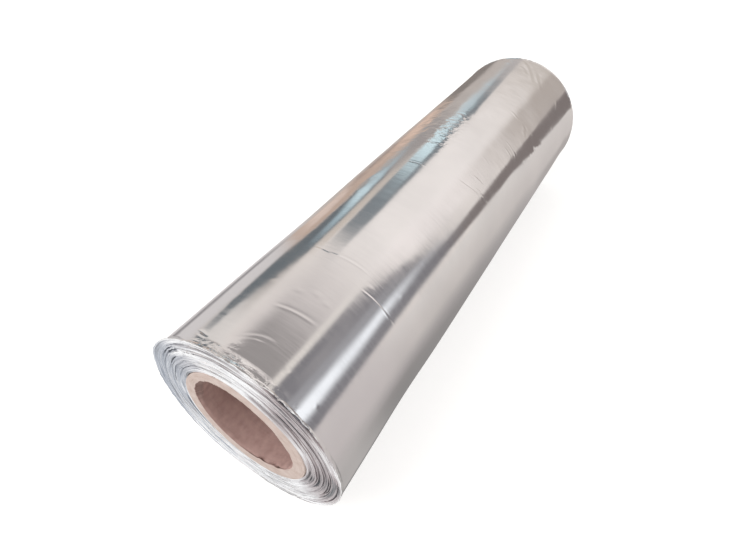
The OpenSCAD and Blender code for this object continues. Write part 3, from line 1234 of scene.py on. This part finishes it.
@dataclass
class CoreTube:
    """The cardboard core: a thick tube of plies, cut off roughly, with a ragged mouth at both ends.

    Attributes:
        sizes: the roll's sizes.
        wall_at: where the outside's rings of vertices are, as shares of half the core.
        oblique_mm: how much further back the front cut lies on one side.
        oblique_deg: the middle of that side.
        tears: the places where the mouths are torn.
    """

    sizes: RollSizes
    end_finish: bpy.types.Material
    bore_finish: bpy.types.Material
    columns: int = 432
    wall_at: tuple[float, ...] = (0.2, 0.6, 0.985)
    face_rows: int = 26
    bore_rows: int = 44
    mouth_rows: int = 5
    oblique_mm: float = 0.56
    oblique_deg: float = 242.0
    tears: tuple[Tear, ...] = (
        Tear(-64, 5, -1.3, 0.0),
        Tear(-57, 4, 0.9, 1.4),
        Tear(-42, 5, 0.6, 1.0),
        Tear(-78, 3, 0.5, 0.7),
        Tear(40, 7, 0.4, 0.6),
        Tear(8, 5, 0.5, 0.8),
        Tear(122, 34, 3.3, 0.0),
        Tear(166, 20, 1.4, 0.2),
        Tear(28, 24, -2.2, 0.0),
        Tear(62, 12, -0.8, 0.0),
        Tear(-81, 4, -1.8, 0.0),
        Tear(-18, 16, 0.7, 0.0),
        Tear(200, 8, 0.4, 0.5),
    )

    def mouth(self, degrees: Array, seed: int) -> tuple[Array, Array]:
        """The ragged edge of the mouth: random heights, and the tears as smooth humps.

        Args:
            degrees: angles round the core.
            seed: fixes the roughness.

        Returns:
            How far the edge stands out from the bore's radius, and how far its foot lies behind the
            cut, at each angle.
        """
        turn = degrees / 360
        out = 0.22 + 0.22 * Crumple(seed, 80, 3).at(turn, 0 * turn)
        back = 0.35 + 0.25 * Crumple(seed + 1, 60, 2).at(turn, 0 * turn)
        for tear in self.tears:
            torn = bell(turned_from(degrees, tear.degrees) / tear.half_deg)
            out = out + tear.out * torn * (1 + 0.2 * Crumple(seed + 2, 240).at(turn, 0 * turn))
            back = back + tear.back * torn
        return out, back

    def half_section(self, degrees: Array, side: int, seed: int) -> tuple[Array, Array]:
        """Radius and place along Y of one end, from the outside over the cut face and mouth to mid-bore.

        The cut face carries rings as high as a ply is torn, by random heights that run round the core. The
        front cut is oblique and lies further back on one side. A faint seam of the plies winds along the
        bore.

        Args:
            degrees: angles round the core.
            side: -1 at the front, 1 at the back.
            seed: fixes the roughness.

        Returns:
            Two arrays with a row for each ring.
        """
        sizes = self.sizes
        turn = (degrees / 360)[None, :]
        out, back = self.mouth(degrees, seed)
        share = np.linspace(0, 1, self.face_rows)[:, None]
        face_r = (sizes.core_r - 0.25) * (1 - share) + (sizes.bore_r + out + 0.15) * share
        cut = 0.09 * Crumple(seed + 3, 10, 3).at(turn, share * 17) + 0.10 * ramp(share * 8 - 7)
        oblique = self.oblique_mm / 2 * (1 + np.cos(np.radians(degrees - self.oblique_deg))) * (side < 0)
        face_y = sizes.core_half - 0.02 - np.abs(cut) - oblique
        rows = np.linspace(0, 1, self.mouth_rows)[:, None]
        mouth_r = sizes.bore_r + out * (1 - rows**3)
        mouth_y = face_y[-1:] - 0.12 - back * rows - (0.5 + 3.0 * ramp(out / 2 - 0.3)) * rows**2
        bore_share = (np.arange(1, self.bore_rows // 2 + 1) / (self.bore_rows // 2 + 0.5))[:, None] ** 1.6
        bore_y = mouth_y[-1:] * (1 - bore_share)
        seam = ((side * bore_y / 150 + turn * 1.0) % 1) - 0.5
        bore_r = sizes.bore_r + 0.10 * bell(seam * 90) + 0.04 * Crumple(seed + 4, 20, 2).at(turn, bore_y / 20)
        wall_y = np.array(self.wall_at)[:, None] * sizes.core_half + 0 * turn
        radius = np.concatenate([0 * wall_y + sizes.core_r, face_r, mouth_r, bore_r * np.ones_like(turn)])
        along = np.concatenate([wall_y, face_y, mouth_y, bore_y * np.ones_like(turn)])
        return radius, side * along

    def build(self) -> bpy.types.Object:
        """Builds the tube as a closed ring: the front half's section, then the back half's the other way.

        Returns:
            The dressed piece, which stands for the core's solid.
        """
        degrees = np.arange(self.columns) / self.columns * 360
        front_r, front_y = self.half_section(degrees, -1, 61)
        back_r, back_y = self.half_section(degrees, 1, 71)
        r, y = np.concatenate([front_r, back_r[::-1]]), np.concatenate([front_y, back_y[::-1]])
        u = np.arange(self.columns + 1) / self.columns * 2 * math.pi * self.sizes.core_r
        steps = np.hypot(np.diff(r[:, 0]), np.diff(y[:, 0]))
        v = np.concatenate([[0], np.cumsum(steps)])
        v = np.append(v, v[-1] + 100)
        mouth = len(self.wall_at) + self.face_rows
        shade = np.zeros_like(r)
        # Painted shadow at the bottom of the front mouth, under the plies that hang in, and painted shade on
        # the mouth's rounding where it stands far out
        painted_mouth_shadow = lobe(degrees, -86, 16) + 0.9 * lobe(degrees, -54, 7)
        rounded = 0.45 * ramp((front_r[mouth] - self.sizes.bore_r - 0.6) / 1.6)
        shade[mouth : mouth + 3] = painted_mouth_shadow
        shade[mouth + 1 : mouth + 5] += rounded
        quads = grid_quads(len(r), self.columns)
        points = round_axis(r, degrees, y)
        finishes = (self.end_finish, self.bore_finish)
        piece = write_piece("core_tube", points, quads, grid_uv(u, v), shade, *finishes)
        row_finish = np.zeros(len(r), int)
        row_finish[mouth - 1 : len(r) - mouth] = 1
        piece.data.polygons.foreach_set("material_index", np.repeat(row_finish, self.columns))
        piece.data.update()
        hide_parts("core")
        return piece


# The studio


@dataclass(frozen=True)
class Card:
    """A soft-edged card in the studio, which only the metal shows.

    Its place is a direction. The turn is the angle round the roll's axis, from +X over the top to -X and on
    to straight down at 270 degrees, and the reach is the angle towards +Y. The card's left and right edges
    are given at its low and high reach, and run straight between.
    """

    low: float
    low_turn: Pair
    high: float
    high_turn: Pair
    soft_turn: float
    soft_reach: float
    colour: str
    strength: float = 1.0

    def mask(
        self, tree: bpy.types.NodeTree, turn: bpy.types.Node, reach: bpy.types.Node
    ) -> bpy.types.Node:
        """Adds the nodes that give 1 on the card and 0 off it: four smooth edges multiplied.

        Args:
            tree: the world's node tree.
            turn: the direction's turn, in degrees.
            reach: the direction's reach, in degrees.

        Returns:
            The node that gives the card's mask.
        """
        edges = []
        for sign, low_turn, high_turn in zip((1, -1), self.low_turn, self.high_turn):
            slope = (high_turn - low_turn) / (self.high - self.low)
            offset = low_turn - slope * self.low
            line = add_node(tree, "Math", [reach, slope, offset], operation="MULTIPLY_ADD")
            inside = add_node(tree, "Math", [turn, line], operation="SUBTRACT")
            edges.append((inside, 0, sign * self.soft_turn))
        edges += [(reach, self.low, self.soft_reach), (reach, self.high, -self.soft_reach)]
        mask = self.strength
        for value, middle, soft in edges:
            rise = [value, middle - soft, middle + soft]
            edge = add_node(tree, "MapRange", rise, interpolation_type="SMOOTHSTEP")
            mask = add_node(tree, "Math", [edge, mask], operation="MULTIPLY")
        return mask


ROOM = (
    # Large pale cards behind the roll, the middle one bright
    Card(10, (146, 235), 75, (138, 235), 6, 4, "#B8AFAA"),
    Card(58, (-100, -66), 90, (-100, -66), 6, 2, "#9F9997", 0.7),
    Card(59.5, (14, 66), 90, (14, 74), 9, 4.5, "#AFA59F"),
    Card(64.5, (62, 150), 90, (62, 150), 9, 3, "#BEB5AE"),
    Card(36, (64, 116), 61, (62, 112), 8, 5, "#EAE3E0"),
    Card(40, (48, 74), 53, (34, 70), 9, 4, "#EFE7E5", 0.8),
    # Grey and pale cards on the near side
    Card(0, (-40, 125), 33, (-40, 125), 20, 6, "#C2BABA", 0.8),
    Card(5, (-96, -40), 25, (-96, -40), 12, 5, "#D2CCCA", 0.45),
    Card(0, (138, 178), 26, (138, 168), 5, 2.5, "#DAD4D1", 0.9),
    Card(0, (172, 240), 36, (172, 240), 4, 5, "#CDC8C8"),
    Card(0, (196, 207), 34, (199, 208), 3, 4, "#848082", 0.9),
    Card(0, (66, 134), 28.3, (67, 118), 10, 3, "#8E8988", 0.9),
    Card(0, (61.5, 70), 34, (62.5, 71), 2, 4, "#DDD6D1"),
    # A dark strip that widens upwards, and a dark card with a tall bright strip
    Card(43, (12.2, 21.0), 58.5, (0.5, 19.0), 2.0, 1.5, "#7C7371"),
    Card(57.5, (2.0, 19.3), 80, (-57, 13.5), 2.0, 1.0, "#7C7371"),
    Card(43, (12, 34), 50, (14, 22), 4, 3, "#A9A5A6", 0.25),
    Card(41, (10, 43), 47, (10, 20), 3, 1.5, "#77757A", 0.95),
    Card(33, (9.5, 64.5), 43, (10, 40), 3, 2, "#77757A", 0.95),
    Card(5, (8, 66), 34, (9.5, 63), 2.0, 2.5, "#77757A", 0.95),
    Card(5, (38, 50), 38, (36, 43), 3, 5, "#A9A8AC", 0.6),
    Card(25, (46, 56), 30, (44, 54), 3, 2, "#A5A1A2", 0.6),
    Card(5, (19.5, 39.5), 40, (24.4, 32.0), 4.5, 6, "#F8FAFF"),
    # A pale blue card with a dark border, and a grey one over it
    Card(62, (128, 148), 90, (128, 150), 5, 2, "#B4ADAC", 0.8),
    Card(38.7, (113.8, 134.5), 58, (115, 143), 1.6, 1.6, "#767C81"),
    Card(57, (115, 143), 63, (124, 142), 1.6, 1.2, "#767C81"),
    Card(49.3, (121, 139.5), 58.5, (126, 148), 1.8, 1.8, "#D3E6EC"),
    Card(57, (130, 149), 63, (138, 146), 2, 1.5, "#BFCBD1", 0.75),
    Card(36, (135.5, 145.5), 49.5, (139, 146), 1.5, 1.5, "#C6BAB0", 0.9),
    # A second, narrow one of these, with its border and its grey card
    Card(49.5, (144, 168), 57, (146, 168), 3, 2.5, "#979190", 0.9),
    Card(33, (144.5, 172), 48, (148.5, 166), 2, 2, "#666C71"),
    Card(21.5, (161.5, 170), 34, (144.8, 173.2), 2, 1.5, "#666C71"),
    Card(37, (148, 157), 50, (155, 162), 2.5, 2, "#A4B6BF", 0.8),
    Card(42.3, (149.5, 163.5), 46, (151.5, 165), 2.5, 2.5, "#D2E5EC"),
    # Warm striped cards on the left, and a dark one over them
    Card(34.5, (171.5, 205), 57.3, (170, 207), 4, 1.5, "#BBA598"),
    Card(51.5, (177, 200), 57, (178, 200), 4, 2, "#DABFAF", 0.85),
    Card(44, (194, 206), 51, (194, 206), 3, 1.5, "#958783", 0.8),
    Card(46, (181, 185), 51, (181, 185), 2, 1.5, "#D0B5A6", 0.7),
    Card(37, (181, 204), 42.5, (184, 203), 3, 1.5, "#D9C6BC", 0.8),
    Card(57.5, (182, 236), 70, (176, 236), 5, 1.8, "#7D7672", 0.95),
)
# White floor towards the front end and low on both sides of the roll
BRIGHT_FLOOR = (
    Card(-95, (-110, 290), -52, (-110, 290), 5, 10, "#FBFBFB"),
    Card(-95, (184, 290), -4, (184, 290), 9, 7, "#F9F9F9"),
    Card(-95, (-110, -42), -4, (-110, -42), 14, 7, "#F9F9F9"),
)


@dataclass
class Studio:
    """A plain pale floor, soft light, the cards that the metal shows, and the camera.

    Attributes:
        sizes: the roll's sizes.
        sky: the studio's general tone above the floor, as the metal shows it.
        floor_tones: the floor's tone as the metal shows it, against the steepness of the look down at it.
    """

    sizes: RollSizes
    sky: str = "#DDD5D1"
    sky_from: Pair = (0.0, 0.05)
    floor_tones: tuple[tuple[float, str], ...] = (
        (-0.95, "#858382"),
        (-0.72, "#918D8C"),
        (-0.6, "#A29D9C"),
        (-0.5, "#B4AEAC"),
        (-0.4, "#C4BDBA"),
        (-0.2, "#CDC6C3"),
        (0.0, "#D6D0CD"),
    )
    room_level: float = 1.12
    light_level: float = 0.78
    floor_colour: str = "#DEDCD9"
    floor_grain_colour: str = "#E2E0DE"
    floor_glow: float = 0.52
    floor_r: float = 3.0
    floor_sides: int = 96
    lamp_place: tuple[float, float, float] = (-0.75, -1.25, 1.5)
    lamp_side: float = 1.2
    lamp_power: float = 13.0
    camera_place: tuple[float, float, float] = (0.15039, -0.33907, 0.28085)
    camera_azimuth: float = 31.032
    camera_elevation: float = 43.674
    camera_focal_px: float = 482.58
    picture_w_px: float = 750.0
    sensor_mm: float = 36.0

    def world(self) -> None:
        """Builds the world: even light, a white background, and the cards for reflections alone.

        A card's reach counts towards either end, so that the roll's back half mirrors what its front half
        does. The bright floor's counts towards the front alone.
        """
        world = bpy.data.worlds.new("studio")
        bpy.context.scene.world = world
        world.use_nodes = True
        tree = world.node_tree
        direction = add_node(tree, "TexCoord").outputs["Generated"]
        x, y, z = add_node(tree, "SeparateXYZ", [direction]).outputs
        angle = add_node(tree, "Math", [z, x], operation="ARCTAN2")
        degrees = add_node(tree, "Math", [angle], operation="DEGREES")
        turn = add_node(tree, "Math", [degrees, 270, -90], operation="WRAP")
        rise = add_node(tree, "Math", [y], operation="ARCSINE")
        to_back = add_node(tree, "Math", [rise], operation="DEGREES")
        reach = add_node(tree, "Math", [to_back], operation="ABSOLUTE")

        tone = self.floor_tones[0][1]
        for (low, _), (high, colour) in zip(self.floor_tones, self.floor_tones[1:]):
            share = add_node(tree, "MapRange", [z, low, high])
            tone = add_node(tree, "Mix", [share, tone, colour])
        above = add_node(tree, "MapRange", [z, *self.sky_from])
        tone = add_node(tree, "Mix", [above, tone, self.sky])
        for card in ROOM + BRIGHT_FLOOR:
            mask = card.mask(tree, turn, to_back if card in BRIGHT_FLOOR else reach)
            tone = add_node(tree, "Mix", [mask, tone, card.colour])
        room = add_node(tree, "VectorMath", {0: tone, "Scale": self.room_level}, operation="SCALE")
        path = add_node(tree, "LightPath").outputs
        even = (self.light_level,) * 3 + (1.0,)
        metal = add_node(tree, "Mix", [path["Is Glossy Ray"], even, room])
        seen = add_node(tree, "Mix", [path["Is Camera Ray"], metal, WHITE])
        feed(tree, tree.nodes["Background"], {"Color": seen})

    def floor(self) -> bpy.types.Object:
        """Builds the floor: a matt pale disc that the camera sees nearly white, with a soft shadow.

        Returns:
            The floor, which is stage and not part of the roll.
        """
        made = bpy.data.materials.new("pale_matt_floor")
        made.use_nodes = True
        tree = made.node_tree
        tree.nodes.clear()
        place = add_node(tree, "TexCoord").outputs["Object"]
        grain = add_node(tree, "TexNoise", {"Vector": place, "Scale": 3, "Detail": 3})
        colour = add_node(tree, "Mix", [grain, self.floor_colour, self.floor_grain_colour])
        matt = add_node(tree, "BsdfDiffuse", {"Color": colour})
        glow = add_node(tree, "Emission", {"Color": WHITE, "Strength": self.floor_glow})
        both = add_node(tree, "AddShader", [matt, glow])
        path = add_node(tree, "LightPath").outputs
        shown = add_node(tree, "MixShader", [path["Is Camera Ray"], matt, both])
        add_node(tree, "OutputMaterial", {"Surface": shown})
        a = np.linspace(0, 2 * math.pi, self.floor_sides, endpoint=False)
        z = -self.sizes.flat_z * MM
        ring = np.stack([self.floor_r * np.cos(a), self.floor_r * np.sin(a), 0 * a + z], -1)
        mesh = bpy.data.meshes.new("floor")
        mesh.from_pydata(ring.tolist(), [], [list(range(len(a)))])
        mesh.materials.append(made)
        floor = add_object("floor", mesh)
        floor.visible_glossy = False
        return floor

    def lamp(self) -> bpy.types.Object:
        """Adds one large soft lamp in front and to the left, aimed at the roll.

        Returns:
            The lamp, which the metal doesn't mirror.
        """
        data = bpy.data.lights.new("soft_lamp", "AREA")
        data.size = self.lamp_side
        data.energy = self.lamp_power
        lamp = add_object("soft_lamp", data)
        lamp.location = self.lamp_place
        lamp.rotation_euler = (-lamp.location).to_track_quat("-Z", "Y").to_euler()
        lamp.visible_glossy = False
        return lamp

    def camera(self) -> bpy.types.Object:
        """Adds the camera. Its lens is the focal length in pixels, as a share of the picture's width.

        Returns:
            The camera, which the scene renders from.
        """
        data = bpy.data.cameras.new("camera")
        data.sensor_width = self.sensor_mm
        data.lens = self.camera_focal_px / self.picture_w_px * self.sensor_mm
        data.clip_start = 0.01
        camera = add_object("camera", data)
        camera.location = self.camera_place
        tilt, heading = math.radians(90 - self.camera_elevation), math.radians(self.camera_azimuth)
        camera.rotation_euler = (tilt, 0, heading)
        bpy.context.scene.camera = camera
        return camera

    def build(self) -> None:
        """Sets the view transform and builds the whole studio."""
        bpy.context.scene.view_settings.view_transform = "Standard"
        self.camera()
        self.world()
        self.floor()
        self.lamp()


def main() -> None:
    """Builds the studio and the roll, piece by piece."""
    logging.basicConfig(level=logging.INFO, format="%(name)s: %(message)s")
    sizes = RollSizes.from_frame()
    Studio(sizes).build()
    foil = BareFoilFinish().material()
    FoilSkin(sizes, foil).build()
    edges = SlitEdgeFinish().material()
    crushed = SlitEdgeFinish(name="crushed_foil_edges", roughness=0.22, turn_mm=0.6).material()
    for end, seed in ((End.FRONT, 100), (End.BACK, 200)):
        WoundTurns(sizes, end, edges, seed).build()
        CrushedRim(sizes, end, crushed, foil, seed + 50).build()
    cut_end = CoreBoardFinish("cut_core_board", "#E3D2CA", "#D5C1B7", "#B59E92", 0.5)
    bore = CoreBoardFinish("core_board_bore", "#C9A9A1", "#B5958E", "#957872", 0.12, ply_mm=2.0)
    CoreTube(sizes, cut_end.material(), bore.material()).build()


if __name__ == "__main__":
    main()
